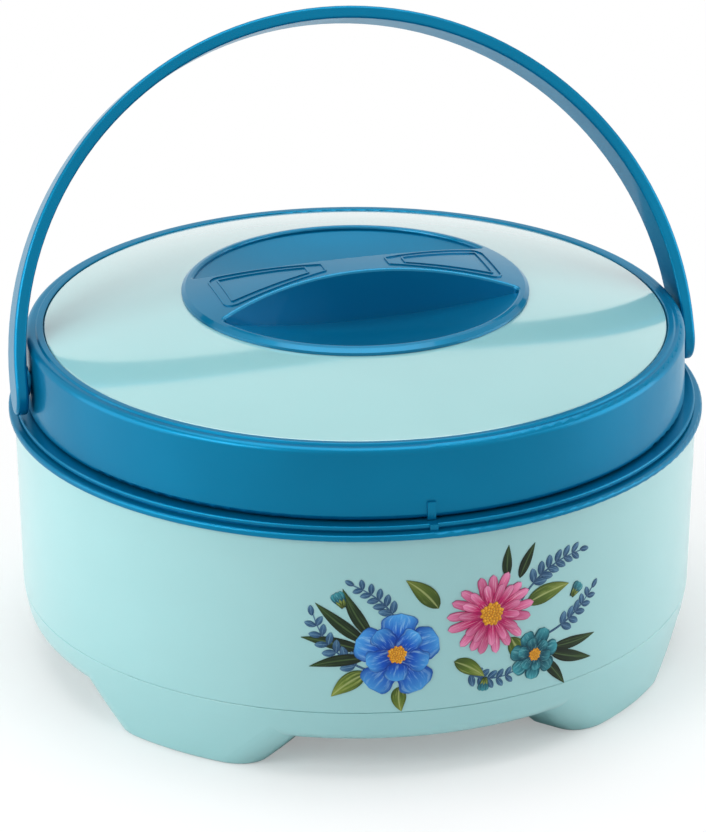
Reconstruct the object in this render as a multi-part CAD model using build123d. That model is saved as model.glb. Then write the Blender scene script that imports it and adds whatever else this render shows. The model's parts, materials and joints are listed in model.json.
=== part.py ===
from build123d import *
import os
from math import cos, radians, sin, sqrt

# Insulated chapati casserole, in millimetres.
# +Z is up, X is the bail's axis, -Y is the front. The origin is on the table, under the centre.

# Clearances
fit_gap = 0.3        # between pieces that are assembled beside each other
seat_gap = 0.1       # between a piece and the flat seat that it rests on
running_gap = 0.05   # radial, round a stud or shank in its hole

# Edges
soft_edge = 0.6
fine_edge = 0.5
cut_over = 1.0       # how far a cutting form reaches past a face
root = 0.5           # how far a lug is sunk into its wall

# Base moulding and its feet
base_wall = 2.4
base_height = 13.6          # underside to the seam
base_taper = 2.4            # how much slimmer the base is at its underside
base_corner = 8.0           # round edge between the feet
foot_drop = 14.0            # table to the base's underside
foot_count = 4
foot_first_angle = 45.0
foot_setback = 0.02         # outer face behind the side of the base
foot_depth = 23.0           # radial size on the table
foot_half_width = 30.5      # at the table
foot_flare = 14.0           # extra half width at the base's underside
foot_corner_round = 12.0    # upright edges at the outside
foot_inner_round = 4.0      # upright edges at the inside
foot_edge_round = 1.8       # round the bottom

# Outer shell
body_radius = 128.2         # just under the collar
body_taper = 1.5            # how much slimmer the shell is at the seam
body_height = 68.8          # seam to collar
shell_wall = 2.2
shell_floor_lift = 3.5      # shell floor above the base floor
spigot_inset = 0.5          # extra play of the shell's foot inside the base's taper
spigot_round = 2.0
seam_edge_round = 0.4       # on the shell and the base, at the seam

# Screws under the base
base_screw_circle = 80.0
base_screw_count = 4
screw_shank_radius = 1.6
screw_head_radius = 3.5
screw_head_height = 2.0
screw_head_round = 0.8
screw_slot_length = 4.0
screw_slot_width = 0.9
screw_slot_depth = 0.8
screw_tip_gap = 1.5         # screw tip to the bottom of its hole
screw_boss_radius = 4.8
base_screw_bite = 6.0       # how far the shank reaches above the shell's floor

# Foam filling hole and its plug
plug_radius = 8.0
plug_head_radius = 11.0
plug_head_height = 1.6
plug_stem_height = 3.4

# Collar
collar_overhang = 2.2
collar_height = 4.7
flange_height = 2.3
groove_depth = 1.5          # behind the shell's surface
groove_height = 1.1
groove_draft = 0.2
collar_round = 1.0
ridge_inset = 0.6           # bead behind the shell's surface
collar_web = 3.5
upstand_height = 6.7
upstand_wall = 2.5
ledge_drop = 3.5            # bowl ledge below the top of the upstand
ledge_width = 5.7
ledge_thickness = 2.4

# Steel bowl
steel = 0.6
bowl_draft = 3.6
bowl_corner = 14.0
bowl_floor_lift = 8.2       # foam thickness under the bowl
bowl_rim_inset = 0.7        # bowl rim to upstand
bowl_rim_width = 6.2
bowl_rim_round = 0.8

# Sealing ring
seal_width = 4.2
seal_height = 2.8
seal_top_round = 1.0

# Lid ring
skirt_height = 27.3
skirt_inset = 4.5           # skirt behind the shell's surface
skirt_draft = 0.5
skirt_wall = 2.6
skirt_foot_round = 2.0
rim_width = 6.5             # flat top of the ring, outside the panel
rim_round = 2.4
ring_inner_round = 1.0
bead_height = 0.7
bead_width = 2.4
panel_ledge_width = 5.2
panel_ledge_wall = 2.2

# Bayonet lugs
lug_count = 4
lug_first_angle = 22.0
lid_lug_angle = 20.0
collar_lug_angle = 22.0
lug_side_gap = 2.5          # degrees between a lid lug and the collar lug beside it
lug_height = 2.4
lug_reach = 1.45
lug_slide_gap = 0.6         # height between a lid lug and the collar lug above it
lug_top_drop = 0.4          # collar lug below the top of the upstand

# Alignment marks at the front
mark_width = 3.0
mark_height = 6.6           # on the lid's skirt
mark_proud = 0.9
collar_mark_proud = 0.9

# Lid panel and lid inner
panel_wall = 2.2
panel_dome_radius = 425.0
recess_depth = 13.4         # recess floor below the panel's top, at the recess's edge
plug_wall_gap = 1.6         # lid plug wall inside the bowl
lid_plug_wall = 2.2
lid_plug_depth = 7.2        # plug wall below the web
lid_web = 2.0
liner_lip = 7.4             # inward lip that carries the steel liner
liner_step = 1.2            # how far the liner's middle is pressed down
liner_step_width = 3.0
liner_step_inset = 4.0      # from the lip's inner edge
panel_edge_round = 0.7

# Knob
knob_radius = 64.9
knob_rim = 4.0
knob_lip = 3.3              # overlap on the panel
knob_lip_height = 1.1
knob_crown = 5.8            # crown above the panel's own crown
knob_dome_radius = 245.0
knob_wall = 2.4
knob_shoulder = 1.5         # sloping edge outside the crown
dish_drop = 19.9            # bottom of the finger hollows below the crown
dish_step = 2.0             # wall of the hollows at the rim
grip_half_width = 7.2       # at the middle of the grip
grip_curve = 123.0          # radius of the grip's hollow sides
grip_turn = 4.0             # degrees from the bail's axis
hollow_tip_round = 2.5
grip_edge_round = 1.0
outline_height = 0.5
outline_sink = 0.3          # how far the outlines are sunk into the grip
outline_narrowing = 0.7
outline_line = 1.3
outline_start = 12.0
outline_end = 54.0
outline_step = 3.2
outline_corner_round = 4.0
outline_tip_round = 0.9
knob_screw_count = 2
knob_screw_offset = 34.0
knob_screw_bite = 13.0

# Bail
bail_gap = 1.5              # between the skirt and the bail
bail_thickness = 4.7
bail_width = 19.0
bail_round = 1.2
bail_foot = 12.6            # bail end below its pivot
bail_lean = 24.5            # degrees back from upright
pivot_drop = 13.6           # pivot below the top of the ring
stud_radius = 3.5
stud_length = 8.3           # from the bail's inner face
shoulder_radius = 5.5       # spacer that keeps the bail off the skirt
pivot_boss_wall = 2.0
stud_chamfer = 0.6

# Heights that follow
floor_z = foot_drop
base_floor_z = floor_z + base_wall
seam_z = floor_z + base_height
collar_z = seam_z + body_height
flange_top_z = collar_z + flange_height
ridge_z = flange_top_z + groove_height
skirt_seat_z = collar_z + collar_height
web_under_z = skirt_seat_z - collar_web
shell_top_z = web_under_z - seat_gap
shell_floor_z = base_floor_z + shell_floor_lift
upstand_top_z = skirt_seat_z + upstand_height
ledge_z = upstand_top_z - ledge_drop
bowl_floor_z = shell_floor_z + shell_wall + bowl_floor_lift
bowl_rim_z = ledge_z + seat_gap + steel
seal_z = bowl_rim_z + seat_gap
seal_top_z = seal_z + seal_height
lid_web_z = max(upstand_top_z, seal_top_z) + fit_gap
skirt_z = skirt_seat_z + fit_gap
rim_z = skirt_z + skirt_height
panel_edge_z = rim_z + fit_gap
pivot_z = rim_z - pivot_drop

# Radii that follow
seam_radius = body_radius - body_taper
flange_radius = body_radius + collar_overhang
ridge_radius = body_radius - ridge_inset
groove_radius = body_radius - groove_depth
spigot_radius = seam_radius - base_taper - base_wall - fit_gap - spigot_inset
skirt_radius = body_radius - skirt_inset
skirt_top_radius = skirt_radius - skirt_draft
lug_clear = fit_gap
upstand_radius = skirt_radius - skirt_wall - lug_reach - 2 * lug_clear
upstand_inner = upstand_radius - upstand_wall
ledge_radius = upstand_inner - ledge_width
bowl_rim_radius = upstand_inner - bowl_rim_inset
bowl_radius = bowl_rim_radius - bowl_rim_width
bowl_floor_radius = bowl_radius - bowl_draft
seal_radius = (bowl_radius + bowl_rim_radius + seal_width) / 2
plug_outer = bowl_radius - plug_wall_gap
plug_inner = plug_outer - lid_plug_wall
panel_radius = skirt_top_radius - rim_width - fit_gap
panel_crown_z = panel_edge_z + panel_dome_radius - sqrt(panel_dome_radius**2 - panel_radius**2)
recess_radius = knob_radius - knob_lip + fit_gap
hollow_radius = knob_radius - knob_rim
dome_fall = knob_dome_radius - sqrt(knob_dome_radius**2 - hollow_radius**2)
dish_rise = dish_drop - dome_fall - dish_step
dish_radius = (hollow_radius**2 + dish_rise**2) / (2 * dish_rise)
bail_inner = skirt_radius + bail_gap
bail_outer = bail_inner + bail_thickness
bail_middle = (bail_inner + bail_outer) / 2
boss_radius = stud_radius + running_gap + pivot_boss_wall


def cap_z(radius, crown_z, sphere_radius):
    """Height of a dome's surface at a distance from the centre line."""
    return crown_z - sphere_radius + sqrt(sphere_radius**2 - radius**2)


def dish_z(radius, bottom_z, sphere_radius):
    """Height of a dish's surface at a distance from the centre line."""
    return bottom_z + sphere_radius - sqrt(sphere_radius**2 - radius**2)


def far_out(point):
    """Distance of a point from the centre line."""
    return sqrt(point.X**2 + point.Y**2)


def on_dome(point, crown_z):
    """Whether a point lies on the knob's dome."""
    return abs(point.Z - cap_z(far_out(point), crown_z, knob_dome_radius)) < 0.01


def skirt_outer(z):
    """Radius of the lid ring's outer face at a height."""
    return skirt_radius - skirt_draft * (z - skirt_z) / skirt_height


def ring(points, rounds=()):
    """Solid of revolution from (radius, height) corners; rounds are (corner, fillet radius)."""
    outline = make_face(Polyline(*points, close=True))
    for corner, size in rounds:
        spot = Vector(*points[corner])
        vertex = min(outline.vertices(), key=lambda v: (Vector(*v) - spot).length)
        outline = fillet(vertex, size)
    return revolve(Plane.XZ * outline, Axis.Z)


def turned(*edges):
    """Solid of revolution from lines and arcs that close an outline in (radius, height)."""
    return revolve(Plane.XZ * make_face(edges), Axis.Z)


def cap_arc(inner, outer, crown_z, sphere_radius):
    """Arc of a dome between two radii."""
    middle = (inner + outer) / 2
    return ThreePointArc(
        (inner, cap_z(inner, crown_z, sphere_radius)),
        (middle, cap_z(middle, crown_z, sphere_radius)),
        (outer, cap_z(outer, crown_z, sphere_radius)),
    )


def dish_arc(inner, outer, bottom_z, sphere_radius):
    """Arc of a dish between two radii."""
    middle = (inner + outer) / 2
    return ThreePointArc(
        (inner, dish_z(inner, bottom_z, sphere_radius)),
        (middle, dish_z(middle, bottom_z, sphere_radius)),
        (outer, dish_z(outer, bottom_z, sphere_radius)),
    )


def rod(radius, low, high, x=0.0, y=0.0):
    """Upright cylinder between two heights."""
    return Pos(x, y, low) * Cylinder(
        radius, high - low, align=(Align.CENTER, Align.CENTER, Align.MIN)
    )


def wedge_ring(inner, outer, low, high, start, sweep):
    """Part of a ring between two radii and two heights, over an angle from start."""
    profile = make_face(
        Polyline((inner, low), (outer, low), (outer, high), (inner, high), close=True)
    )
    return Rot(0, 0, start) * revolve(Plane.XZ * profile, Axis.Z, sweep)


def around(count, first, circle):
    """Positions evenly spaced on a circle, as (x, y) pairs."""
    angles = [radians(first + 360 * i / count) for i in range(count)]
    return [(circle * cos(a), circle * sin(a)) for a in angles]


def base_side(z):
    """Radius of the base's outer wall at a height."""
    return seam_radius - base_taper * (seam_z - z) / base_height


def foot_forms(inset):
    """Forms of the feet, shrunk by inset on each side and the bottom."""
    low = inset
    top_z = floor_z + base_corner + cut_over
    inner = base_side(0) - foot_depth + inset
    skin = foot_setback + inset
    profile = ring(
        [(inner, low), (base_side(low) - skin, low), (base_side(top_z) - skin, top_z), (inner, top_z)]
    )
    slope = foot_flare / floor_z
    half_low = foot_half_width + slope * low - inset * sqrt(1 + slope**2)
    half_high = half_low + slope * (top_z - low)
    end = make_face(
        Polyline((-half_low, low), (half_low, low), (half_high, top_z), (-half_high, top_z), close=True)
    )
    foot = profile & extrude(Plane.YZ * end, body_radius)
    upright = [e for e in foot.edges() if abs((e @ 0).Z - (e @ 1).Z) > floor_z / 2]
    upright = sorted(upright, key=lambda e: far_out(e @ 0.5))
    foot = fillet(upright[2:], foot_corner_round - inset)
    upright = [e for e in foot.edges() if abs((e @ 0).Z - (e @ 1).Z) > floor_z / 2]
    upright = sorted(upright, key=lambda e: far_out(e @ 0.5))
    foot = fillet(upright[:2], foot_inner_round)
    foot = fillet(foot.edges().group_by(Axis.Z)[0], foot_edge_round)
    return [Rot(0, 0, foot_first_angle + 360 * i / foot_count) * foot for i in range(foot_count)]


def base():
    """Base moulding: a shallow cup with hollow feet."""
    cup = ring(
        [(0, floor_z), (base_side(floor_z), floor_z), (seam_radius, seam_z), (0, seam_z)],
        rounds=[(1, base_corner), (2, seam_edge_round)],
    )
    high_z = seam_z + cut_over
    hollow = ring(
        [
            (0, base_floor_z),
            (base_side(base_floor_z) - base_wall, base_floor_z),
            (base_side(high_z) - base_wall, high_z),
            (0, high_z),
        ],
        rounds=[(1, base_corner - base_wall)],
    )
    solid = cup + foot_forms(0) - hollow - foot_forms(base_wall)
    boss_top = shell_floor_z - seat_gap
    for x, y in around(base_screw_count, 0, base_screw_circle):
        solid += rod(screw_boss_radius, base_floor_z, boss_top, x, y)
        solid -= rod(screw_shank_radius + fit_gap, floor_z - cut_over, boss_top + cut_over, x, y)
    return solid


def base_screws():
    """Self-tapping screws that hold the base to the shell."""
    tip_z = shell_floor_z + shell_wall + base_screw_bite - cut_over - screw_tip_gap
    screws = []
    for x, y in around(base_screw_count, 0, base_screw_circle):
        head = rod(screw_head_radius, floor_z - screw_head_height, floor_z, x, y)
        head = fillet(head.edges().group_by(Axis.Z)[0], screw_head_round)
        cross = Box(screw_slot_length, screw_slot_width, 2 * screw_slot_depth)
        slot = Pos(x, y, floor_z - screw_head_height) * (cross + Rot(0, 0, 90) * cross)
        screws.append(head + rod(screw_shank_radius, floor_z, tip_z, x, y) - slot)
    return Compound(children=[s.solid() for s in screws])


def outer_shell():
    """Outer wall with its own floor, which stands inside the base."""
    edge_z = seam_z + seat_gap
    wall_in = body_radius - shell_wall
    step_z = edge_z + shell_wall
    shell = ring(
        [
            (0, shell_floor_z),
            (spigot_radius, shell_floor_z),
            (spigot_radius, edge_z),
            (seam_radius, edge_z),
            (body_radius, collar_z),
            (body_radius, shell_top_z),
            (wall_in, shell_top_z),
            (wall_in, collar_z),
            (seam_radius - shell_wall, step_z),
            (spigot_radius - shell_wall, step_z - shell_wall),
            (spigot_radius - shell_wall, shell_floor_z + shell_wall),
            (0, shell_floor_z + shell_wall),
        ],
        rounds=[(1, spigot_round), (3, seam_edge_round)],
    )
    boss_top = shell_floor_z + shell_wall + base_screw_bite
    for x, y in around(base_screw_count, 0, base_screw_circle):
        shell += rod(screw_boss_radius, shell_floor_z + shell_wall, boss_top, x, y)
        shell -= rod(
            screw_shank_radius + running_gap, shell_floor_z - cut_over, boss_top - cut_over, x, y
        )
    return shell - rod(plug_radius, shell_floor_z - cut_over, shell_floor_z + shell_wall + cut_over)


def fill_plug():
    """Push-in plug that closes the hole the foam was poured through."""
    head_top = shell_floor_z - seat_gap
    head = rod(plug_head_radius, head_top - plug_head_height, head_top)
    head = fillet(head.edges().group_by(Axis.Z)[0], soft_edge)
    stem = rod(plug_radius - running_gap, head_top, head_top + plug_stem_height)
    return head + chamfer(stem.edges().group_by(Axis.Z)[-1], soft_edge)


def bowl_outline(shift):
    """Corners of the bowl's wall line, moved outwards by shift, from the centre to the rim."""
    return [
        (0, bowl_floor_z - shift),
        (bowl_floor_radius + shift, bowl_floor_z - shift),
        (bowl_radius + shift, bowl_rim_z - shift),
    ]


def steel_bowl():
    """Pressed steel bowl with a flat rim that lies on the collar's ledge."""
    outer = bowl_outline(steel)
    inner = bowl_outline(0)
    return ring(
        outer
        + [(bowl_rim_radius, bowl_rim_z - steel), (bowl_rim_radius, bowl_rim_z)]
        + inner[::-1],
        rounds=[
            (1, bowl_corner + steel),
            (2, bowl_rim_round),
            (5, bowl_rim_round + steel),
            (6, bowl_corner),
        ],
    )


def body_foam():
    """Insulating foam between the shell and the bowl."""
    low_z = shell_floor_z + shell_wall + seat_gap
    step_z = seam_z + fit_gap + shell_wall
    slim = spigot_radius - shell_wall - seat_gap
    wall_in = body_radius - shell_wall - seat_gap
    side = bowl_outline(steel + seat_gap)
    top_z = ledge_z - ledge_thickness - seat_gap
    foam = ring(
        [
            (0, low_z),
            (slim, low_z),
            (slim, step_z - shell_wall + seat_gap),
            (seam_radius - shell_wall - seat_gap, step_z + seat_gap),
            (wall_in, collar_z),
            (wall_in, web_under_z - seat_gap),
            (upstand_inner - seat_gap, web_under_z - seat_gap),
            (upstand_inner - seat_gap, top_z),
            (side[2][0], top_z),
            side[1],
            side[0],
        ],
        rounds=[(9, bowl_corner + steel)],
    )
    boss_top = shell_floor_z + shell_wall + base_screw_bite
    for x, y in around(base_screw_count, 0, base_screw_circle):
        foam -= rod(screw_boss_radius + fit_gap, low_z - cut_over, boss_top + fit_gap, x, y)
    return foam - rod(
        plug_radius + fit_gap, low_z - cut_over, shell_floor_z + plug_stem_height + fit_gap
    )


def lug_angles():
    """Start angles of the collar's lugs and of the lid's lugs, with the lid just set down."""
    pitch = 360 / lug_count
    collar = [lug_first_angle + pitch * i for i in range(lug_count)]
    lid = [start + collar_lug_angle + lug_side_gap for start in collar]
    return collar, lid


def collar():
    """Moulded collar: flange, bead and the upstand that carries the lugs and the bowl."""
    lip = body_radius + fit_gap
    shape = ring(
        [
            (lip, collar_z),
            (flange_radius, collar_z),
            (flange_radius, flange_top_z),
            (groove_radius, flange_top_z + groove_draft),
            (groove_radius, ridge_z - groove_draft),
            (ridge_radius, ridge_z),
            (ridge_radius, skirt_seat_z),
            (upstand_radius, skirt_seat_z),
            (upstand_radius, upstand_top_z),
            (upstand_inner, upstand_top_z),
            (upstand_inner, ledge_z),
            (ledge_radius, ledge_z),
            (ledge_radius, ledge_z - ledge_thickness),
            (upstand_inner, ledge_z - ledge_thickness),
            (upstand_inner, web_under_z),
            (lip, web_under_z),
        ],
        rounds=[(1, soft_edge), (2, collar_round), (6, soft_edge), (8, soft_edge), (9, fine_edge)],
    )
    lug_top = upstand_top_z - lug_top_drop
    for start in lug_angles()[0]:
        shape += wedge_ring(
            upstand_radius - root,
            upstand_radius + lug_reach,
            lug_top - lug_height,
            lug_top,
            start,
            collar_lug_angle,
        )
    depth = flange_radius - ridge_radius + cut_over
    tall = skirt_seat_z - ridge_z + cut_over
    mark = Pos(0, -flange_radius + depth / 2, skirt_seat_z - tall / 2) * Box(mark_width, depth, tall)
    keep = rod(ridge_radius + collar_mark_proud, collar_z, skirt_seat_z)
    return shape + (mark & keep)


def lid_seal():
    """Soft sealing ring between the bowl's rim and the lid."""
    return ring(
        [
            (seal_radius - seal_width, seal_z),
            (seal_radius, seal_z),
            (seal_radius, seal_top_z),
            (seal_radius - seal_width, seal_top_z),
        ],
        rounds=[(0, soft_edge), (1, soft_edge), (2, seal_top_round), (3, seal_top_round)],
    )


def lid_ring():
    """Outer ring of the lid: skirt, rim, panel ledge, lugs and the bail's sockets."""
    inner_low = skirt_radius - skirt_wall
    inner_high = skirt_top_radius - skirt_wall
    seat = panel_radius + fit_gap
    ledge_top = panel_edge_z - panel_wall - seat_gap
    ledge_under = ledge_top - panel_ledge_wall
    shape = ring(
        [
            (inner_low, skirt_z),
            (skirt_radius, skirt_z),
            (skirt_top_radius, rim_z),
            (seat + bead_width + soft_edge, rim_z),
            (seat + bead_width, rim_z + bead_height),
            (seat, rim_z + bead_height),
            (seat, ledge_top),
            (seat - panel_ledge_width, ledge_top),
            (seat - panel_ledge_width, ledge_under),
            (inner_high, ledge_under),
        ],
        rounds=[
            (1, skirt_foot_round),
            (2, rim_round),
            (4, fine_edge),
            (5, fine_edge),
            (9, ring_inner_round),
        ],
    )
    lug_top = upstand_top_z - lug_top_drop - lug_height - lug_slide_gap
    for start in lug_angles()[1]:
        shape += wedge_ring(
            inner_low - lug_reach,
            inner_low + root,
            lug_top - lug_height,
            lug_top,
            start,
            lid_lug_angle,
        )
    socket_depth = stud_length + fit_gap
    for side in (0, 180):
        wall_face = bail_inner - socket_depth - pivot_boss_wall
        boss = Pos(wall_face, 0, pivot_z) * Rot(0, 90, 0) * Cylinder(
            boss_radius, inner_high + root - wall_face, align=(Align.CENTER, Align.CENTER, Align.MIN)
        )
        bore = Pos(bail_inner - socket_depth, 0, pivot_z) * Rot(0, 90, 0) * Cylinder(
            stud_radius + running_gap,
            socket_depth + cut_over,
            align=(Align.CENTER, Align.CENTER, Align.MIN),
        )
        # the socket's underside is cut flat just above the web of the inner moulding
        boss -= rod(skirt_radius, skirt_z, lid_web_z + lid_web + fit_gap)
        shape = shape + Rot(0, 0, side) * boss - Rot(0, 0, side) * bore
    mark = Pos(0, -skirt_radius, skirt_z + mark_height / 2) * Box(
        mark_width, 2 * mark_proud, mark_height
    )
    return shape + mark


def lid_inner():
    """Inner moulding: web over the collar, plug wall and the lip under the steel liner."""
    web_top = lid_web_z + lid_web
    web_radius = skirt_outer(web_top) - skirt_wall - fit_gap
    bottom = lid_web_z - lid_plug_depth
    return ring(
        [
            (plug_outer, bottom),
            (plug_outer, lid_web_z),
            (web_radius, lid_web_z),
            (web_radius, web_top),
            (plug_inner, web_top),
            (plug_inner, bottom + lid_web),
            (plug_inner - liner_lip, bottom + lid_web),
            (plug_inner - liner_lip, bottom),
        ],
        rounds=[(0, 2 * soft_edge), (7, soft_edge)],
    )


def lid_liner():
    """Pressed steel plate that closes the lid from below, with a shallow step."""
    low = lid_web_z - lid_plug_depth + lid_web + seat_gap
    pressed = low - liner_step
    edge = plug_inner - fit_gap
    foot = edge - liner_lip - liner_step_inset
    head = foot + liner_step_width
    lag = steel * liner_step / liner_step_width
    return ring(
        [
            (0, pressed),
            (foot, pressed),
            (head, low),
            (edge, low),
            (edge, low + steel),
            (head - lag, low + steel),
            (foot - lag, pressed + steel),
            (0, pressed + steel),
        ]
    )


def lid_panel():
    """Domed top panel with the round recess for the knob."""
    top_z = cap_z(recess_radius, panel_crown_z, panel_dome_radius)
    floor_top = top_z - recess_depth
    floor_under = floor_top - panel_wall
    wall_out = recess_radius + panel_wall
    under_crown = panel_crown_z - panel_wall
    under_radius = panel_dome_radius - panel_wall
    edge_under = panel_edge_z - panel_wall
    dome_end = sqrt(under_radius**2 - (edge_under - under_crown + under_radius) ** 2)
    wall_top = cap_z(wall_out, under_crown, under_radius)
    panel = turned(
        cap_arc(recess_radius, panel_radius, panel_crown_z, panel_dome_radius),
        Line((panel_radius, panel_edge_z), (panel_radius, edge_under)),
        Line((panel_radius, edge_under), (dome_end, edge_under)),
        cap_arc(wall_out, dome_end, under_crown, under_radius),
        Line((wall_out, wall_top), (wall_out, floor_under)),
        Line((wall_out, floor_under), (0, floor_under)),
        Line((0, floor_under), (0, floor_top)),
        Line((0, floor_top), (recess_radius, floor_top)),
        Line((recess_radius, floor_top), (recess_radius, top_z)),
    )
    rim = panel.edges().filter_by(GeomType.CIRCLE).sort_by(lambda e: e.radius)
    rim = [e for e in rim if abs(e.center().Z - panel_edge_z) < 0.01]
    panel = fillet(rim, panel_edge_round)
    for x, y in knob_screw_spots():
        panel -= rod(screw_shank_radius + fit_gap, floor_under - cut_over, floor_top + cut_over, x, y)
    return panel


def knob_screw_spots():
    """Places of the knob's two screws."""
    return around(knob_screw_count, grip_turn, knob_screw_offset)


def recess_floor_z():
    """Top of the floor under the knob."""
    return cap_z(recess_radius, panel_crown_z, panel_dome_radius) - recess_depth


def grip_plan(half_width):
    """Plan of the grip: narrow in the middle, wider towards both ends."""
    reach = knob_radius + 2 * cut_over
    side = half_width + grip_curve - sqrt(grip_curve**2 - reach**2)
    return make_face(
        [
            ThreePointArc((-reach, side), (0, half_width), (reach, side)),
            Line((reach, side), (reach, -side)),
            ThreePointArc((reach, -side), (0, -half_width), (-reach, -side)),
            Line((-reach, -side), (-reach, side)),
        ]
    )


def hollow_plan():
    """Plan of the two finger hollows, one on each side of the grip."""
    plan = Circle(hollow_radius) - grip_plan(grip_half_width)
    return fillet(plan.vertices(), hollow_tip_round)


def grip_outlines(crown_z):
    """Raised outlines on the grip: two nested frames on each half."""
    low_z = crown_z - outline_sink
    high_z = crown_z + outline_height
    low_radius = knob_dome_radius - outline_sink
    high_radius = knob_dome_radius + outline_height
    edge = hollow_radius
    skin = turned(
        cap_arc(0, edge, low_z, low_radius),
        Line((edge, cap_z(edge, low_z, low_radius)), (edge, cap_z(edge, high_z, high_radius))),
        cap_arc(0, edge, high_z, high_radius),
        Line((0, high_z), (0, low_z)),
    )
    frames = []
    for step in range(2):
        start = outline_start + 2 * outline_step * step
        end = outline_end - outline_step * step
        slim = grip_half_width / 2 - outline_narrowing * step
        wide = grip_half_width + end**2 / (2 * grip_curve) - outline_step * (1 + step)
        frame = make_face(
            Polyline((start, -slim), (end, -wide), (end, wide), (start, slim), close=True)
        )
        ends = frame.vertices().group_by(Axis.X)
        frame = fillet(ends[0], outline_tip_round)
        frame = fillet(frame.vertices().group_by(Axis.X)[-1], outline_corner_round - outline_step * step)
        frames.append(frame - offset(frame, -outline_line / 2))
    lines = extrude(Sketch() + frames, 2 * crown_z)
    return (lines + Rot(0, 0, 180) * lines) & skin


def lid_knob():
    """Round insert with two finger hollows and a grip between them."""
    crown_z = panel_crown_z + knob_crown
    body_edge = knob_radius - knob_lip
    dish_bottom = crown_z - dish_drop
    under_bottom = dish_bottom - knob_wall
    under_radius = dish_radius + knob_wall
    lip_in_z = cap_z(body_edge, panel_crown_z, panel_dome_radius) + seat_gap
    lip_out_z = cap_z(knob_radius, panel_crown_z, panel_dome_radius) + seat_gap
    shoulder = knob_radius - knob_shoulder
    lens = turned(
        dish_arc(0, body_edge, under_bottom, under_radius),
        Line((body_edge, dish_z(body_edge, under_bottom, under_radius)), (body_edge, lip_in_z)),
        Line((body_edge, lip_in_z), (knob_radius, lip_out_z)),
        Line((knob_radius, lip_out_z), (knob_radius, lip_out_z + knob_lip_height)),
        Line(
            (knob_radius, lip_out_z + knob_lip_height),
            (shoulder, cap_z(shoulder, crown_z, knob_dome_radius)),
        ),
        cap_arc(0, shoulder, crown_z, knob_dome_radius),
        Line((0, crown_z), (0, under_bottom)),
    )
    high_z = crown_z + 5 * cut_over
    wide = hollow_radius + cut_over
    above_dish = turned(
        dish_arc(0, wide, dish_bottom, dish_radius),
        Line((wide, dish_z(wide, dish_bottom, dish_radius)), (wide, high_z)),
        Line((wide, high_z), (0, high_z)),
        Line((0, high_z), (0, dish_bottom)),
    )
    hollows = extrude(hollow_plan(), high_z) & above_dish
    knob = lens - hollows
    rims = [e for e in knob.edges() if on_dome(e @ 0.5, crown_z) and far_out(e @ 0.5) < shoulder - 0.1]
    knob = fillet(rims, grip_edge_round)
    core_edge = hollow_radius - knob_wall
    core_top = crown_z - knob_wall
    core_dome = knob_dome_radius - knob_wall
    low_z = under_bottom - cut_over
    under_dome = turned(
        cap_arc(0, core_edge, core_top, core_dome),
        Line((core_edge, cap_z(core_edge, core_top, core_dome)), (core_edge, low_z)),
        Line((core_edge, low_z), (0, low_z)),
        Line((0, low_z), (0, core_top)),
    )
    core = extrude(grip_plan(grip_half_width - knob_wall), crown_z) & under_dome
    knob = knob - core + grip_outlines(crown_z)
    boss_low = recess_floor_z() + seat_gap
    for x, y in around(knob_screw_count, 0, knob_screw_offset):
        boss_top = cap_z(knob_screw_offset, crown_z, knob_dome_radius) - knob_wall / 2
        knob += rod(screw_boss_radius, boss_low, boss_top, x, y)
        knob -= rod(
            screw_shank_radius + running_gap, boss_low - cut_over, boss_low + knob_screw_bite, x, y
        )
    return Rot(0, 0, grip_turn) * knob


def knob_screws():
    """Two screws that hold the knob from inside the lid."""
    head_top = recess_floor_z() - panel_wall
    tip_z = recess_floor_z() + knob_screw_bite - screw_tip_gap
    screws = []
    for x, y in knob_screw_spots():
        head = rod(screw_head_radius, head_top - screw_head_height, head_top, x, y)
        head = fillet(head.edges().group_by(Axis.Z)[0], screw_head_round)
        screws.append(head + rod(screw_shank_radius, head_top, tip_z, x, y))
    return Compound(children=[s.solid() for s in screws])


def lid_foam():
    """Insulating foam inside the lid."""
    low = lid_web_z - lid_plug_depth + lid_web + 2 * seat_gap + steel
    web_top = lid_web_z + lid_web + seat_gap
    plug_edge = plug_inner - seat_gap
    ring_edge = skirt_top_radius - skirt_wall - fit_gap
    top_z = panel_edge_z - panel_wall - 2 * seat_gap - panel_ledge_wall
    ledge_edge = panel_radius + fit_gap - panel_ledge_width - seat_gap
    drop = panel_wall + seat_gap
    under_crown = panel_crown_z - drop
    under_radius = panel_dome_radius - drop
    wall_out = recess_radius + drop
    floor_under = recess_floor_z() - drop
    foam = turned(
        Line((0, low), (plug_edge, low)),
        Line((plug_edge, low), (plug_edge, web_top)),
        Line((plug_edge, web_top), (ring_edge, web_top)),
        Line((ring_edge, web_top), (ring_edge, top_z - ring_inner_round)),
        Line((ring_edge, top_z - ring_inner_round), (ring_edge - ring_inner_round, top_z)),
        Line((ring_edge - ring_inner_round, top_z), (ledge_edge, top_z)),
        Line((ledge_edge, top_z), (ledge_edge, cap_z(ledge_edge, under_crown, under_radius))),
        cap_arc(wall_out, ledge_edge, under_crown, under_radius),
        Line((wall_out, cap_z(wall_out, under_crown, under_radius)), (wall_out, floor_under)),
        Line((wall_out, floor_under), (0, floor_under)),
        Line((0, floor_under), (0, low)),
    )
    for side in (0, 180):
        reach = bail_inner - stud_length - 2 * fit_gap - pivot_boss_wall
        pocket = Pos(reach, 0, pivot_z) * Rot(0, 90, 0) * Cylinder(
            boss_radius + fit_gap, ring_edge, align=(Align.CENTER, Align.CENTER, Align.MIN)
        )
        foam -= Rot(0, 0, side) * pocket
    for x, y in knob_screw_spots():
        head_low = recess_floor_z() - panel_wall - screw_head_height - fit_gap
        foam -= rod(screw_head_radius + fit_gap, head_low, floor_under + cut_over, x, y)
    return foam


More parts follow.
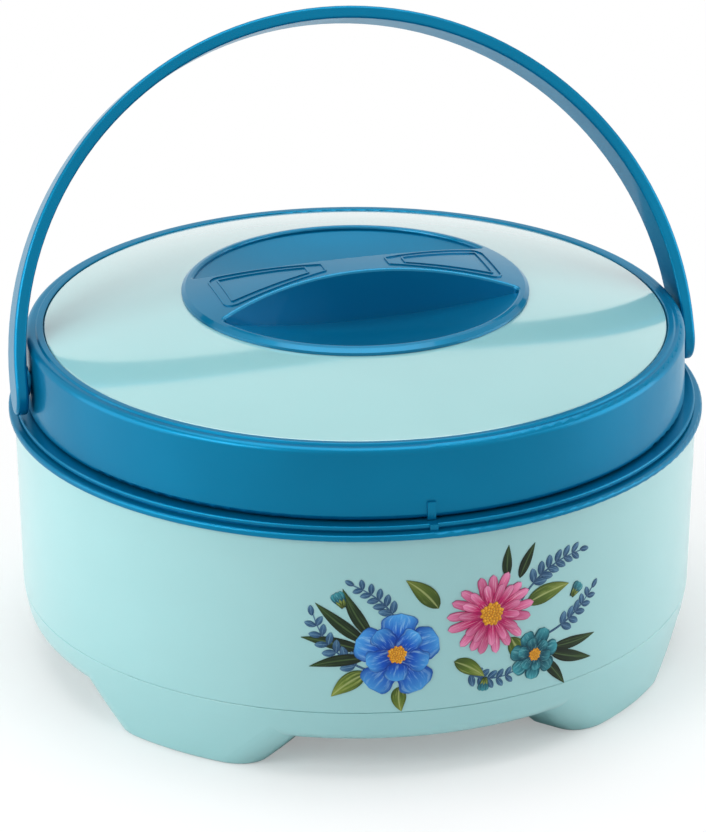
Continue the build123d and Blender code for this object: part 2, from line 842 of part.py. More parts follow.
def bail():
    """Carrying bail: a flat half hoop with round feet and the studs that it turns on."""
    section = Pos(-bail_middle, 0) * RectangleRounded(bail_thickness, bail_width, bail_round)
    hoop = revolve(section, Axis.Y, 180)
    drop = bail_foot - bail_width / 2
    foot = Pos(0, -drop / 2) * Rectangle(bail_width, drop) + Pos(0, -drop) * Circle(bail_width / 2)
    foot = foot & Pos(0, -bail_foot / 2) * Rectangle(bail_width, bail_foot)
    leg = extrude(Plane.YZ.offset(bail_inner) * foot, bail_thickness)
    outline = [e for e in leg.edges() if e.center().Z < -0.01 and e.bounding_box().size.X < 0.01]
    leg = fillet(outline, bail_round)
    strap = hoop + leg + Rot(0, 0, 180) * leg
    stud = Pos(bail_inner - stud_length, 0, 0) * Rot(0, 90, 0) * Cylinder(
        stud_radius, stud_length + root, align=(Align.CENTER, Align.CENTER, Align.MIN)
    )
    stud = chamfer(stud.edges().group_by(Axis.X)[0], stud_chamfer)
    shoulder = Pos(skirt_radius + fit_gap, 0, 0) * Rot(0, 90, 0) * Cylinder(
        shoulder_radius, bail_gap - fit_gap + root, align=(Align.CENTER, Align.CENTER, Align.MIN)
    )
    pivot = stud + shoulder
    whole = strap + pivot + Rot(0, 0, 180) * pivot
    return Pos(0, 0, pivot_z) * Rot(-bail_lean, 0, 0) * whole


PIECES = {
    "base": base,
    "base_screws": base_screws,
    "outer_shell": outer_shell,
    "fill_plug": fill_plug,
    "body_foam": body_foam,
    "steel_bowl": steel_bowl,
    "collar": collar,
    "lid_seal": lid_seal,
    "lid_ring": lid_ring,
    "lid_inner": lid_inner,
    "lid_liner": lid_liner,
    "lid_foam": lid_foam,
    "lid_panel": lid_panel,
    "lid_knob": lid_knob,
    "knob_screws": knob_screws,
    "bail": bail,
}

os.makedirs("parts", exist_ok=True)
for name, make in PIECES.items():
    export_step(make(), f"parts/{name}.step")
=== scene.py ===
import json
import math
import random

import bmesh
import bpy
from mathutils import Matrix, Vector


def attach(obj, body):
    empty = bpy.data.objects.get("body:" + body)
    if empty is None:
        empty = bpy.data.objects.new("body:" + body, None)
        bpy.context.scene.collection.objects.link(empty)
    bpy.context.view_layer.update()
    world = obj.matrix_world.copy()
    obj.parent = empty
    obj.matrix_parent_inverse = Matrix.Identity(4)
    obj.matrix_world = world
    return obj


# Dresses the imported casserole: camera, materials, printed flowers, floor, world and lamps.
# Lengths are in metres unless a comment says otherwise. The print is laid out in millimetres.

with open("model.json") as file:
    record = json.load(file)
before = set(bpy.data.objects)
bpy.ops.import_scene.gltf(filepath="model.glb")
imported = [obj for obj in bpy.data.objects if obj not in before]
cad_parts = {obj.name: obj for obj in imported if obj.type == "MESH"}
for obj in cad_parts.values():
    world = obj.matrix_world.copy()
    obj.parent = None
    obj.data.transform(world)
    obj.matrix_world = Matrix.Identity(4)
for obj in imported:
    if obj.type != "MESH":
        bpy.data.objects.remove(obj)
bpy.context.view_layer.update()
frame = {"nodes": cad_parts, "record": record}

# ---------------------------------------------------------------- camera
CAMERA_AT = Vector((-0.33871, -1.52783, 0.75271))
LOOK_AT = Vector((0.0, 0.0, 0.0894))
IMAGE_HEIGHT = 832       # pixels
FOCAL_LENGTH = 4500      # pixels
OFFSET_RIGHT = 2.3       # pixels from the picture's middle to LOOK_AT
SENSOR = 36.0            # millimetres

camera_data = bpy.data.cameras.new("camera")
camera_data.sensor_fit = "VERTICAL"
camera_data.sensor_height = SENSOR
camera_data.lens = FOCAL_LENGTH / IMAGE_HEIGHT * SENSOR
camera_data.shift_x = -OFFSET_RIGHT / IMAGE_HEIGHT
camera_data.clip_start = 0.05
camera_data.clip_end = 50
camera = bpy.data.objects.new("camera", camera_data)
camera.location = CAMERA_AT
camera.rotation_euler = (LOOK_AT - CAMERA_AT).to_track_quat("-Z", "Y").to_euler()
bpy.context.scene.collection.objects.link(camera)
bpy.context.scene.camera = camera
bpy.context.scene.view_settings.view_transform = "Standard"


# ---------------------------------------------------------------- node helpers
# a Mix node's colour sockets
MIX_FACTOR, MIX_FIRST, MIX_SECOND, MIX_RESULT = 0, 6, 7, 2


def srgb(red, green, blue):
    """Linear colour with alpha, from 0-255 display values."""
    def linear(value):
        value /= 255
        return value / 12.92 if value <= 0.04045 else ((value + 0.055) / 1.055) ** 2.4
    return (linear(red), linear(green), linear(blue), 1.0)


class Nodes:
    """Short way to build a node tree."""

    def __init__(self, tree):
        self.tree = tree
        self.tree.nodes.clear()

    def add(self, kind, **settings):
        node = self.tree.nodes.new(kind)
        for name, value in settings.items():
            setattr(node, name, value)
        return node

    def link(self, output, socket):
        self.tree.links.new(output, socket)

    def noise(self, vector, scale, detail=3.0, roughness=0.55):
        node = self.add("ShaderNodeTexNoise")
        node.inputs["Scale"].default_value = scale
        node.inputs["Detail"].default_value = detail
        node.inputs["Roughness"].default_value = roughness
        self.link(vector, node.inputs["Vector"])
        return node.outputs["Fac"]

    def spread(self, value, low, high, start=0.3, stop=0.7):
        """Goes from low to high while value goes from start to stop, and no further."""
        node = self.add("ShaderNodeMapRange")
        node.inputs["From Min"].default_value = start
        node.inputs["From Max"].default_value = stop
        node.inputs["To Min"].default_value = low
        node.inputs["To Max"].default_value = high
        self.link(value, node.inputs["Value"])
        return node.outputs["Result"]

    def ramp(self, value, stops):
        """Colour from a list of positions and their colours."""
        node = self.add("ShaderNodeValToRGB")
        elements = node.color_ramp.elements
        while len(elements) < len(stops):
            elements.new(0.5)
        for element, (position, color) in zip(elements, stops):
            element.position = position
            element.color = color
        self.link(value, node.inputs["Fac"])
        return node.outputs["Color"]

    def mix(self, factor, first, second):
        """Colour between two others, each of them fixed or linked."""
        node = self.add("ShaderNodeMix", data_type="RGBA")
        self.link(factor, node.inputs[MIX_FACTOR])
        for socket, color in ((MIX_FIRST, first), (MIX_SECOND, second)):
            if isinstance(color, tuple):
                node.inputs[socket].default_value = color
            else:
                self.link(color, node.inputs[socket])
        return node.outputs[MIX_RESULT]

    def math(self, operation, *values):
        """Result of a sum or function of one or two values, each of them fixed or linked."""
        node = self.add("ShaderNodeMath", operation=operation)
        for socket, value in zip(node.inputs, values):
            if isinstance(value, (int, float)):
                socket.default_value = value
            else:
                self.link(value, socket)
        return node.outputs[0]

    def mix_shaders(self, factor, first, second):
        node = self.add("ShaderNodeMixShader")
        for socket, output in zip(node.inputs, (factor, first.outputs[0], second.outputs[0])):
            self.link(output, socket)
        return node.outputs[0]


class Look(Nodes):
    """A material with one principled shader."""

    def __init__(self, name):
        self.material = bpy.data.materials.new(name)
        self.material.use_nodes = True
        super().__init__(self.material.node_tree)
        self.out = self.add("ShaderNodeOutputMaterial")
        self.shader = self.add("ShaderNodeBsdfPrincipled")
        self.link(self.shader.outputs[0], self.out.inputs["Surface"])

    def place(self):
        """Place on the object, in metres."""
        return self.add("ShaderNodeTexCoord").outputs["Object"]

    def feed(self, **sources):
        """Links sources to the shader's sockets, named with _ for a space."""
        for name, source in sources.items():
            self.link(source, self.shader.inputs[name.replace("_", " ")])

    def bump(self, height, strength, distance):
        node = self.add("ShaderNodeBump")
        node.inputs["Strength"].default_value = strength
        node.inputs["Distance"].default_value = distance
        self.link(height, node.inputs["Height"])
        self.link(node.outputs["Normal"], self.shader.inputs["Normal"])


# ---------------------------------------------------------------- materials
# A roughness range lies wholly above or wholly below 0.27. The denoiser treats the two
# sides differently, so a range across it comes out blotchy.
def aqua_plastic(name, rough_low, rough_high, coat, coat_rough, coat_ior):
    """Pale glossy polypropylene, faintly uneven, with a fine moulded skin."""
    look = Look(name)
    place = look.place()
    cloud = look.noise(place, scale=14.0, detail=2.0)
    look.feed(
        Base_Color=look.ramp(cloud, [(0.35, srgb(148, 200, 202)), (0.65, srgb(152, 204, 206))]),
        Roughness=look.spread(look.noise(place, scale=60.0), low=rough_low, high=rough_high),
    )
    look.shader.inputs["IOR"].default_value = 1.52
    look.shader.inputs["Subsurface Weight"].default_value = 0.12
    look.shader.inputs["Subsurface Radius"].default_value = (0.5, 0.9, 0.9)
    look.shader.inputs["Subsurface Scale"].default_value = 0.004
    look.shader.inputs["Coat Weight"].default_value = coat
    look.shader.inputs["Coat Roughness"].default_value = coat_rough
    look.shader.inputs["Coat IOR"].default_value = coat_ior
    look.bump(look.noise(place, scale=700.0, detail=4.0), strength=0.06, distance=0.00008)
    return look.material


def blue_plastic(name, coat, coat_ior):
    """Deep blue polypropylene with a pearl in it, polished."""
    look = Look(name)
    place = look.place()
    cloud = look.noise(place, scale=16.0, detail=2.0)
    look.feed(
        Base_Color=look.ramp(cloud, [(0.35, srgb(0, 110, 148)), (0.65, srgb(1, 115, 154))]),
        Roughness=look.spread(look.noise(place, scale=70.0), low=0.32, high=0.38),
    )
    look.shader.inputs["Metallic"].default_value = 0.6
    look.shader.inputs["Specular IOR Level"].default_value = 0.15
    look.shader.inputs["Specular Tint"].default_value = (0.25, 0.8, 1.0, 1.0)
    look.shader.inputs["Coat Weight"].default_value = coat
    look.shader.inputs["Coat IOR"].default_value = coat_ior
    look.shader.inputs["Coat Roughness"].default_value = 0.08
    look.bump(look.noise(place, scale=650.0, detail=4.0), strength=0.05, distance=0.00008)
    return look.material


def turned_steel(name, light, dark, rough_low, rough_high):
    """Stainless steel spun on a lathe: fine rings round the centre line."""
    look = Look(name)
    place = look.place()
    apart = look.add("ShaderNodeSeparateXYZ")
    look.link(place, apart.inputs[0])
    radius = look.math("SQRT", look.math(
        "ADD",
        look.math("MULTIPLY", apart.outputs["X"], apart.outputs["X"]),
        look.math("MULTIPLY", apart.outputs["Y"], apart.outputs["Y"]),
    ))
    profile = look.add("ShaderNodeCombineXYZ")
    look.link(radius, profile.inputs["X"])
    look.link(apart.outputs["Z"], profile.inputs["Z"])
    rings = look.noise(profile.outputs[0], scale=2600.0, detail=2.0, roughness=0.6)
    cloud = look.noise(place, scale=30.0)
    look.feed(
        Base_Color=look.mix(look.spread(rings, low=0.0, high=1.0), light, dark),
        Roughness=look.math(
            "ADD",
            look.spread(rings, low=rough_low, high=rough_high),
            look.spread(cloud, low=-0.03, high=0.03),
        ),
    )
    look.shader.inputs["Metallic"].default_value = 1.0
    look.bump(rings, strength=0.10, distance=0.00005)
    return look.material


def seal_rubber():
    """Milky silicone."""
    look = Look("seal_rubber")
    place = look.place()
    cloud = look.noise(place, scale=40.0)
    look.feed(
        Base_Color=look.ramp(cloud, [(0.3, srgb(205, 208, 204)), (0.7, srgb(216, 219, 215))]),
        Roughness=look.spread(look.noise(place, scale=90.0), low=0.42, high=0.55),
    )
    look.shader.inputs["Subsurface Weight"].default_value = 0.2
    look.shader.inputs["Subsurface Scale"].default_value = 0.002
    look.bump(look.noise(place, scale=900.0), strength=0.08, distance=0.0001)
    return look.material


def foam():
    """Rigid foam with a cellular skin."""
    look = Look("foam")
    place = look.place()
    voronoi = look.add("ShaderNodeTexVoronoi", feature="F1")
    voronoi.inputs["Scale"].default_value = 420.0
    look.link(place, voronoi.inputs["Vector"])
    cells = voronoi.outputs["Distance"]
    look.feed(
        Base_Color=look.ramp(cells, [(0.1, srgb(214, 196, 138)), (0.7, srgb(236, 222, 176))]),
        Roughness=look.spread(look.noise(place, scale=50.0), low=0.8, high=0.95),
    )
    look.bump(cells, strength=0.5, distance=0.0006)
    return look.material


NODE_MATERIALS = {
    "aqua_plastic": aqua_plastic(
        "aqua_plastic", rough_low=0.285, rough_high=0.32, coat=0.6, coat_rough=0.20, coat_ior=1.5
    ),
    "blue_plastic": blue_plastic("blue_plastic", coat=0.4, coat_ior=1.25),
    "bowl_steel": turned_steel(
        "bowl_steel", srgb(222, 222, 224), srgb(196, 197, 200), rough_low=0.16, rough_high=0.23
    ),
    "screw_steel": turned_steel(
        "screw_steel", srgb(205, 205, 208), srgb(168, 169, 172), rough_low=0.31, rough_high=0.42
    ),
    "seal_rubber": seal_rubber(),
    "foam": foam(),
}
# the panel and the knob are glossier than the other pieces of their plastic
POLISHED = {
    "lid_panel": aqua_plastic(
        "polished_aqua", rough_low=0.09, rough_high=0.13, coat=1.0, coat_rough=0.08, coat_ior=1.6
    ),
    "lid_knob": blue_plastic("polished_blue", coat=0.6, coat_ior=1.4),
}

for row in frame["record"]["subparts"]:
    node = frame["nodes"][row["node"]]
    node.data.materials.clear()
    node.data.materials.append(POLISHED.get(row["node"], NODE_MATERIALS[row["material_slot"]]))


# ---------------------------------------------------------------- printed flowers
MM = 0.001
# the shell's outer wall is a slim cone from the first height and radius to the second
SHELL_LOW_Z, SHELL_HIGH_Z = 27.6, 96.4
SHELL_LOW_RADIUS, SHELL_HIGH_RADIUS = 126.7, 128.2
PRINT_SINK = 0.06        # how far the film reaches into the wall
PRINT_FIRST = 0.10       # top of the lowest film above the wall
PRINT_STEP = 0.025       # further height of each film that lies over another
SLIMMEST = 0.06          # half width at a petal's very ends
ACROSS = (-1.0, -0.5, 0.0, 0.5, 1.0)    # where a strip has points, as shares of its half width
WAVE, FINE_WAVE = 9, 21  # radians of a ruffled edge's waves along the strip
FINE_SHARE = 0.5         # depth of the fine waves, as a share of the others'
SHARP_ANGLE = 30         # degrees

# streaks of an ink: how fast they change across a petal, along it, and from tone to tone
STREAK_ACROSS, STREAK_ALONG, STREAK_TONE = 2.2, 0.9, 37.0
STREAK_SHIFT = 0.45      # how far a streak moves the colour along the petal
RIM_POWER = 5.0          # how closely the rim keeps to the petal's edge
RIM_SHARE = 0.75         # how much of the rim's colour a petal's edge gets
TONE_SHARE = 0.45        # how much of it a petal with a tone of 1 gets all over


def ink(name, stops, edge, light, rib=None):
    """Printed colour that runs along a petal, with streaks, a darker rim and lighter folds."""
    look = Look(name)
    petal = look.add("ShaderNodeAttribute", attribute_name="petal")
    apart = look.add("ShaderNodeSeparateXYZ")
    look.link(petal.outputs["Vector"], apart.inputs[0])
    across, along, tone = apart.outputs
    run = look.add("ShaderNodeCombineXYZ")
    look.link(look.math("MULTIPLY", across, STREAK_ACROSS), run.inputs["X"])
    look.link(look.math("MULTIPLY", along, STREAK_ALONG), run.inputs["Y"])
    look.link(look.math("MULTIPLY", tone, STREAK_TONE), run.inputs["Z"])
    streak = look.noise(run.outputs[0], scale=2.4, detail=5.0, roughness=0.6)
    from_mean = look.math("SUBTRACT", streak, 0.5)
    shift = look.math("MULTIPLY", from_mean, STREAK_SHIFT)
    fold = look.spread(streak, low=0.0, high=0.75, start=0.52, stop=0.72)
    rim = look.math("POWER", look.math("ABSOLUTE", across), RIM_POWER)
    color = look.ramp(look.math("ADD", along, shift), stops)
    color = look.mix(fold, color, light)
    color = look.mix(look.math("MULTIPLY", rim, RIM_SHARE), color, edge)
    color = look.mix(look.math("MULTIPLY", tone, TONE_SHARE), color, edge)
    if rib:
        from_rib = look.math("ABSOLUTE", across)
        line = look.spread(from_rib, low=0.55, high=0.0, start=0.05, stop=0.16)
        color = look.mix(line, color, rib)
    look.feed(Base_Color=color, Roughness=look.spread(streak, low=0.285, high=0.34))
    look.shader.inputs["Specular IOR Level"].default_value = 0.2
    look.bump(streak, strength=0.05, distance=0.00006)
    return look.material


def on_shell(x, y, proud):
    """Point on the shell's outer wall: arc length from the front, height, and how proud it is."""
    share = (y - SHELL_LOW_Z) / (SHELL_HIGH_Z - SHELL_LOW_Z)
    radius = SHELL_LOW_RADIUS + (SHELL_HIGH_RADIUS - SHELL_LOW_RADIUS) * share
    angle = x / SHELL_HIGH_RADIUS
    radius += proud
    return Vector((radius * math.sin(angle), -radius * math.cos(angle), y)) * MM


class Print:
    """One ink's films, gathered in one mesh of closed thin plates on the shell."""

    def __init__(self, name, material):
        self.name, self.material = name, material
        self.points, self.faces, self.petals = [], [], []

    def film(self, start, angle, length, width, layer, bend=0.0, tone=None, steps=14, ruffle=0.0):
        """Lays a strip of varying width along a curved line from start.

        Its tone, from 0 to 1, is drawn unless it is given.
        """
        tone = DRAW.random() if tone is None else tone
        # the fourth draw isn't used, but without it every later draw would change
        left_wave, right_wave, fine_wave, _ = [DRAW.uniform(0, 2 * math.pi) for _ in range(4)]
        x, y = start
        heading = math.radians(angle)
        rows = []
        for step in range(steps + 1):
            t = step / steps
            wide = max(width(t), SLIMMEST)
            row = []
            for side in ACROSS:
                wave = left_wave if side > 0 else right_wave
                ripple = ruffle * math.sin(WAVE * t + wave)
                ripple += FINE_SHARE * ruffle * math.sin(FINE_WAVE * t + fine_wave)
                reach = side * wide * (1.0 + ripple)
                row.append((x - reach * math.sin(heading), y + reach * math.cos(heading), side, t))
            rows.append(row)
            heading += math.radians(bend) / steps
            x += length / steps * math.cos(heading)
            y += length / steps * math.sin(heading)
        self.plate(rows, PRINT_FIRST + PRINT_STEP * layer, tone)

    def plate(self, rows, top, tone):
        """Adds a closed plate: the rows at the top, the same rows in the wall, and the edges."""
        first = len(self.points)
        across = len(rows[0])
        for proud in (top, -PRINT_SINK):
            for row in rows:
                for x, y, side, t in row:
                    self.points.append(on_shell(x, y, proud))
                    self.petals.append((side, t, tone))
        under = len(rows) * across

        def spot(row, column, low=False):
            return first + row * across + column + (under if low else 0)

        for r in range(len(rows) - 1):
            for c in range(across - 1):
                self.faces.append((spot(r, c), spot(r + 1, c), spot(r + 1, c + 1), spot(r, c + 1)))
                self.faces.append((
                    spot(r, c, True),
                    spot(r, c + 1, True),
                    spot(r + 1, c + 1, True),
                    spot(r + 1, c, True),
                ))
            for c, turn in ((0, True), (across - 1, False)):
                wall = (spot(r, c), spot(r, c, True), spot(r + 1, c, True), spot(r + 1, c))
                self.faces.append(wall if turn else wall[::-1])
        last = len(rows) - 1
        for c in range(across - 1):
            self.faces.append((spot(0, c), spot(0, c + 1), spot(0, c + 1, True), spot(0, c, True)))
            self.faces.append(
                (spot(last, c), spot(last, c, True), spot(last, c + 1, True), spot(last, c + 1))
            )

    def finish(self):
        """Makes the piece, which stays with the body."""
        mesh = bpy.data.meshes.new(self.name)
        mesh.from_pydata(self.points, [], self.faces)
        field = mesh.attributes.new("petal", "FLOAT_VECTOR", "POINT")
        field.data.foreach_set("vector", [value for petal in self.petals for value in petal])
        mesh.materials.append(self.material)
        work = bmesh.new()
        work.from_mesh(mesh)
        bmesh.ops.recalc_face_normals(work, faces=work.faces)
        work.to_mesh(mesh)
        work.free()
        mesh.shade_smooth()
        mesh.set_sharp_from_angle(angle=math.radians(SHARP_ANGLE))
        piece = bpy.data.objects.new(self.name, mesh)
        bpy.context.scene.collection.objects.link(piece)
        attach(piece, "body")


def lance(half):
    """Half width of a slender leaf."""
    return lambda t: half * math.sin(math.pi * t**0.75) ** 0.9


def oval(half):
    """Half width of an oval leaf."""
    return lambda t: half * max(0.0, math.sin(math.pi * t)) ** 0.6


def spoon(half, root):
    """Half width of a petal that widens from a share at its root towards a round tip."""
    return lambda t: half * (root + (1 - root) * t**0.8) * max(0.0, 1 - t**7) ** 0.5


def disc(half):
    """Half width of a round spot."""
    return lambda t: half * max(0.0, 1 - (2 * t - 1) ** 2) ** 0.5


def thread(half):
    """Half width of a stem that thins towards its end."""
    return lambda t: half * (1 - 0.6 * t)


RING_LAYERS = 4          # layers in which a ring's petals lie over one another
PETAL_TURN = 4           # degrees either way
PETAL_BEND = 10          # degrees either way
PETAL_LENGTHS = (0.92, 1.06)    # from shortest to longest, as shares of the ring's length


def bloom(prints, at, rings, layer):
    """Rings of petals round a middle. Gives the layer above them.

    A ring is (print, count, inner, length, half width, turn, root, ruffle).
    """
    for kind, count, inner, length, half, turn, root, ruffle in rings:
        order = list(range(count))
        DRAW.shuffle(order)
        for spot, index in enumerate(order):
            angle = turn + 360 * index / count + DRAW.uniform(-PETAL_TURN, PETAL_TURN)
            reach = length * DRAW.uniform(*PETAL_LENGTHS)
            start = (
                at[0] + inner * math.cos(math.radians(angle)),
                at[1] + inner * math.sin(math.radians(angle)),
            )
            bend = DRAW.uniform(-PETAL_BEND, PETAL_BEND)
            prints[kind].film(
                start, angle, length=reach, width=spoon(half, root),
                layer=layer + spot % RING_LAYERS, bend=bend, ruffle=ruffle,
            )
        layer += RING_LAYERS
    return layer


ANTHERS = 46
ANTHER_TURN = 137.5      # degrees from each anther to the next
ANTHER_REACH = 1.08      # place of the outermost, as a share of the middle's radius
ANTHER_SIZE, ANTHER_GROWTH = 0.13, 0.07     # at the centre and towards the edge, as such shares


def middle(prints, at, radius, layer):
    """Golden middle of a flower: a disc with a crowd of small anthers."""
    prints["gold"].film(
        (at[0] - radius, at[1]), angle=0, length=2 * radius, width=disc(radius),
        layer=layer, tone=0.9,
    )
    for index in range(ANTHERS):
        share = math.sqrt((index + 0.5) / ANTHERS)
        angle = index * ANTHER_TURN
        grain = radius * (ANTHER_SIZE + ANTHER_GROWTH * share)
        x = at[0] + ANTHER_REACH * radius * share * math.cos(math.radians(angle))
        y = at[1] + ANTHER_REACH * radius * share * math.sin(math.radians(angle))
        prints["gold"].film(
            (x - grain, y), angle=0, length=2 * grain, width=disc(grain),
            layer=layer + 1 + index % 2, tone=DRAW.uniform(0, 0.7), steps=6,
        )


def leaf(prints, kind, at, angle, length, half, bend, layer):
    """Slender leaf along a curved line."""
    prints[kind].film(at, angle, length, lance(half), layer, bend=bend)


STEM_HALF = 0.42
STEM_STEPS = 40          # for finding a leaf's place on the stem
FIRST_LEAF = 0.25        # its share of the way along the stem
LEAF_SPLAY = 48          # degrees from the stem
LEAF_SHRINK = 0.35       # how much smaller the leaf at the tip is
LEAF_BEND = 15           # degrees either way


def sprig(prints, kind, at, angle, length, bend, pairs, leaf_length, leaf_half, layer):
    """Curved stem with leaves in pairs and one at the tip."""
    prints[kind].film(at, angle, length, thread(STEM_HALF), layer, bend=bend, tone=0.6, steps=18)
    for index in range(pairs + 1):
        t = FIRST_LEAF + (1 - FIRST_LEAF) * index / pairs
        x, y, heading = at[0], at[1], math.radians(angle)
        for _ in range(round(STEM_STEPS * t)):
            heading += math.radians(bend) / STEM_STEPS
            x += length / STEM_STEPS * math.cos(heading)
            y += length / STEM_STEPS * math.sin(heading)
        size = 1.0 - LEAF_SHRINK * t
        sides = (0,) if index == pairs else (-LEAF_SPLAY, LEAF_SPLAY)
        for side in sides:
            leaf_bend = DRAW.uniform(-LEAF_BEND, LEAF_BEND)
            prints[kind].film(
                (x, y), math.degrees(heading) + side, length=leaf_length * size,
                width=oval(leaf_half * size), layer=layer + 1, bend=leaf_bend, steps=10,
            )


BUD_PETALS = (-14, 14, 0)       # degrees from the bud's line, the last on top
BUD_CUP = (-26, 26, 0)


def bud(prints, at, angle, size, layer):
    """Closed flower of three petals in a cup of three small leaves."""
    for side in BUD_PETALS:
        prints["teal"].film(
            at, angle + side, length=size, width=spoon(half=size * 0.27, root=0.5),
            layer=layer + (side == 0), ruffle=0.03,
        )
    for side in BUD_CUP:
        leaf(
            prints, "olive", at, angle + side, length=size * 0.55, half=size * 0.12, bend=0,
            layer=layer + 2,
        )


def build_print():
    inks = {
        "blue": ink(
            "ink_blue",
            [(0.0, srgb(4, 34, 112)), (0.45, srgb(8, 88, 200)), (0.95, srgb(80, 174, 245))],
            edge=srgb(2, 44, 130), light=srgb(170, 220, 252),
        ),
        "pink": ink(
            "ink_pink",
            [(0.0, srgb(112, 4, 58)), (0.4, srgb(200, 20, 100)), (0.95, srgb(242, 148, 192))],
            edge=srgb(142, 10, 76), light=srgb(252, 212, 230),
        ),
        "teal": ink(
            "ink_teal",
            [(0.0, srgb(0, 32, 46)), (0.5, srgb(5, 88, 106)), (0.95, srgb(62, 154, 166))],
            edge=srgb(0, 42, 58), light=srgb(132, 206, 212),
        ),
        "gold": ink(
            "ink_gold",
            [(0.0, srgb(192, 98, 8)), (0.6, srgb(240, 166, 22)), (1.0, srgb(252, 206, 72))],
            edge=srgb(132, 56, 6), light=srgb(252, 224, 120),
        ),
        "forest": ink(
            "ink_forest",
            [(0.0, srgb(14, 26, 14)), (0.6, srgb(27, 49, 25)), (1.0, srgb(54, 80, 38))],
            edge=srgb(9, 19, 11), light=srgb(74, 100, 50), rib=srgb(84, 112, 66),
        ),
        "olive": ink(
            "ink_olive",
            [(0.0, srgb(53, 74, 25)), (0.5, srgb(93, 117, 40)), (1.0, srgb(138, 152, 68))],
            edge=srgb(45, 65, 24), light=srgb(168, 180, 98), rib=srgb(182, 192, 126),
        ),
        "slate": ink(
            "ink_slate",
            [(0.0, srgb(28, 62, 98)), (0.6, srgb(52, 96, 132)), (1.0, srgb(88, 134, 166))],
            edge=srgb(30, 64, 100), light=srgb(124, 166, 192), rib=srgb(112, 152, 180),
        ),
    }
    prints = {key: Print("print_" + key, material) for key, material in inks.items()}
    for row in SPRIGS:
        sprig(prints, *row)
    for row in LEAVES:
        leaf(prints, *row)
    for at, rings, layer, radius in BLOOMS:
        top = bloom(prints, at, rings, layer)
        middle(prints, at, radius, top)
    for row in BUDS:
        bud(prints, *row)
    for one in prints.values():
        one.finish()


# A place is (arc length to the right of the front, height). An angle is in degrees,
# anticlockwise from the right. A film on a higher layer lies over those on a lower one.
DRAW = random.Random(11)
# kind, start, angle, length, bend, pairs, leaf length, leaf half width, layer
SPRIGS = [
    ("slate", (-20, 44), 168, 34, -62, 6, 6.4, 1.7, 0),
    ("slate", (34, 66), 58, 30, -58, 6, 6.4, 1.7, 0),
    ("slate", (10, 44), -52, 24, 70, 5, 5.6, 1.5, 0),
    ("slate", (46, 50), 12, 24, 38, 5, 5.8, 1.6, 0),
    ("slate", (-12, 62), 112, 24, 44, 5, 5.6, 1.5, 0),
]
# kind, start, angle, length, half width, bend, layer
LEAVES = [
    ("forest", (-22, 58), 128, 22, 2.4, -18, 1),
    ("forest", (-24, 56), 146, 24, 2.5, -12, 2),
    ("forest", (-25, 53), 163, 23, 2.4, 10, 1),
    ("forest", (-24, 50), 183, 21, 2.3, 14, 2),
    ("forest", (48, 44), -8, 20, 2.3, 14, 1),
    ("forest", (47, 42), -26, 21, 2.4, 10, 2),
    ("forest", (44, 40), -46, 16, 2.2, -10, 1),
    ("forest", (28, 76), 96, 13, 1.9, -14, 1),
    ("forest", (33, 75), 70, 14, 2.0, -10, 2),
    ("olive", (-24, 44), 205, 16, 3.4, 22, 3),
    ("olive", (-12, 38), 258, 10, 2.8, 30, 3),
    ("olive", (2, 68), 122, 17, 3.4, 24, 3),
    ("olive", (36, 64), 22, 19, 3.6, -20, 3),
    ("olive", (30, 52), -66, 15, 3.4, 24, 3),
    ("olive", (8, 46), -20, 14, 3.0, -24, 3),
]
# middle, rings (print, count, inner, length, half width, turn, root, ruffle), layer, golden radius
BLOOMS = [
    (
        (-13, 51),
        [("blue", 5, 1.5, 15.5, 7.8, 18, 0.45, 0.07), ("blue", 5, 1.0, 10.5, 5.2, 54, 0.5, 0.08)],
        5, 3.0,
    ),
    (
        (22, 63),
        [("pink", 17, 2.2, 14.0, 2.1, 5, 0.6, 0.03), ("pink", 13, 1.6, 10.6, 1.9, 17, 0.6, 0.03)],
        5, 3.9,
    ),
    (
        (40, 43),
        [("teal", 7, 1.0, 9.4, 3.7, 12, 0.5, 0.05), ("teal", 6, 0.8, 6.2, 2.7, 40, 0.5, 0.05)],
        5, 2.1,
    ),
]
# start, angle, size, layer
BUDS = [((-32, 70), 118, 6.5, 4), ((56, 62), 48, 6.0, 4), ((20, 38), -100, 5.5, 4)]

build_print()


# ---------------------------------------------------------------- floor, world and lamps
FLOOR_HALF = 6.0
FLOOR_GLOW = 0.3         # share of plain white in the floor under the casserole
FADE_START, FADE_STOP = 0.14, 0.27      # radii between which it goes over to plain white
MIRROR_START, MIRROR_STOP = 0.35, 0.8   # the same for the floor in reflections
ROOM_LIGHT = 0.25


def mirrored(nodes, path):
    """1 for what is seen in a reflection or through something clear, otherwise 0."""
    glossy, clear = path.outputs["Is Glossy Ray"], path.outputs["Is Transmission Ray"]
    return nodes.math("MAXIMUM", glossy, clear)


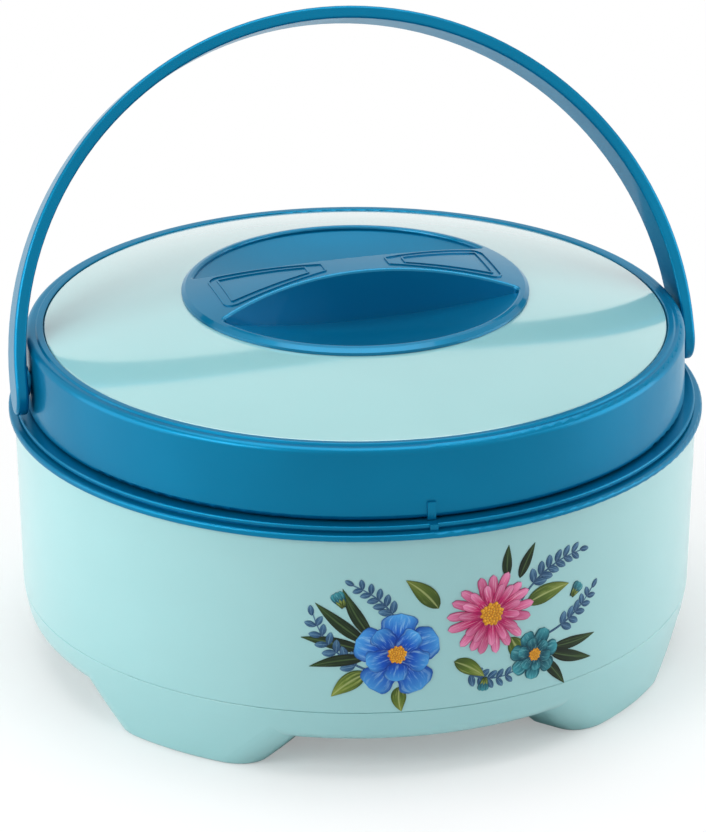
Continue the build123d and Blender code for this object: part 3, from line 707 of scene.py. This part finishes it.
def build_floor():
    """Pale floor with the casserole's shadow, which goes over into plain white further out."""
    mesh = bpy.data.meshes.new("floor")
    corners = [
        (-FLOOR_HALF, -FLOOR_HALF, 0),
        (FLOOR_HALF, -FLOOR_HALF, 0),
        (FLOOR_HALF, FLOOR_HALF, 0),
        (-FLOOR_HALF, FLOOR_HALF, 0),
    ]
    mesh.from_pydata(corners, [], [(0, 1, 2, 3)])
    floor = bpy.data.objects.new("floor", mesh)
    bpy.context.scene.collection.objects.link(floor)
    look = Look("floor")
    place = look.place()
    length = look.add("ShaderNodeVectorMath", operation="LENGTH")
    look.link(place, length.inputs[0])
    radius = length.outputs["Value"]
    path = look.add("ShaderNodeLightPath")
    near = look.spread(radius, low=FLOOR_GLOW, high=1.0, start=FADE_START, stop=FADE_STOP)
    wide = look.spread(radius, low=0.0, high=1.0, start=MIRROR_START, stop=MIRROR_STOP)
    white_share = look.math(
        "MAXIMUM",
        look.math("MULTIPLY", near, path.outputs["Is Camera Ray"]),
        look.math("MULTIPLY", wide, mirrored(look, path)),
    )
    cloud = look.noise(place, scale=3.0)
    look.feed(
        Base_Color=look.ramp(cloud, [(0.3, (0.93, 0.93, 0.93, 1)), (0.7, (0.95, 0.95, 0.95, 1))])
    )
    look.shader.inputs["Roughness"].default_value = 0.7
    look.shader.inputs["Specular IOR Level"].default_value = 0.1
    glow = look.add("ShaderNodeEmission")
    look.link(look.mix_shaders(white_share, look.shader, glow), look.out.inputs["Surface"])
    mesh.materials.append(look.material)


def build_world():
    """White to the camera and in reflections, and a faint even light on everything else."""
    world = bpy.data.worlds.new("studio")
    bpy.context.scene.world = world
    world.use_nodes = True
    nodes = Nodes(world.node_tree)
    out = nodes.add("ShaderNodeOutputWorld")
    path = nodes.add("ShaderNodeLightPath")
    white = nodes.add("ShaderNodeBackground")
    white.inputs["Color"].default_value = (1, 1, 1, 1)
    white.inputs["Strength"].default_value = 1.0
    room = nodes.add("ShaderNodeBackground")
    room.inputs["Color"].default_value = (0.97, 0.99, 1.0, 1)
    room.inputs["Strength"].default_value = ROOM_LIGHT
    seen = nodes.math("MAXIMUM", path.outputs["Is Camera Ray"], mirrored(nodes, path))
    nodes.link(nodes.mix_shaders(seen, room, white), out.inputs["Surface"])


def softbox(name, at, size, power, aim=(0, 0, 0.1)):
    """Rectangular lamp, with its width and height in metres and its power in watts."""
    data = bpy.data.lights.new(name, "AREA")
    data.shape = "RECTANGLE"
    data.size, data.size_y = size
    data.energy = power
    lamp = bpy.data.objects.new(name, data)
    lamp.location = at
    lamp.rotation_euler = (Vector(aim) - Vector(at)).to_track_quat("-Z", "Y").to_euler()
    bpy.context.scene.collection.objects.link(lamp)


build_floor()
build_world()
softbox("top_softbox", at=(0.0, 0.1, 1.4), size=(1.4, 1.2), power=12.4)
softbox("front_left_softbox", at=(-0.95, -0.55, 0.75), size=(0.6, 0.5), power=5.0)
softbox("front_right_softbox", at=(0.9, -0.75, 0.75), size=(0.6, 0.5), power=1.0)
softbox(
    "left_softbox", at=(-0.52, -0.02, 0.22), size=(0.42, 0.4), power=0.95, aim=(-0.02, 0, 0.12)
)
softbox(
    "right_softbox", at=(0.5, -0.12, 0.22), size=(0.42, 0.4), power=1.1, aim=(0.02, 0, 0.12)
)
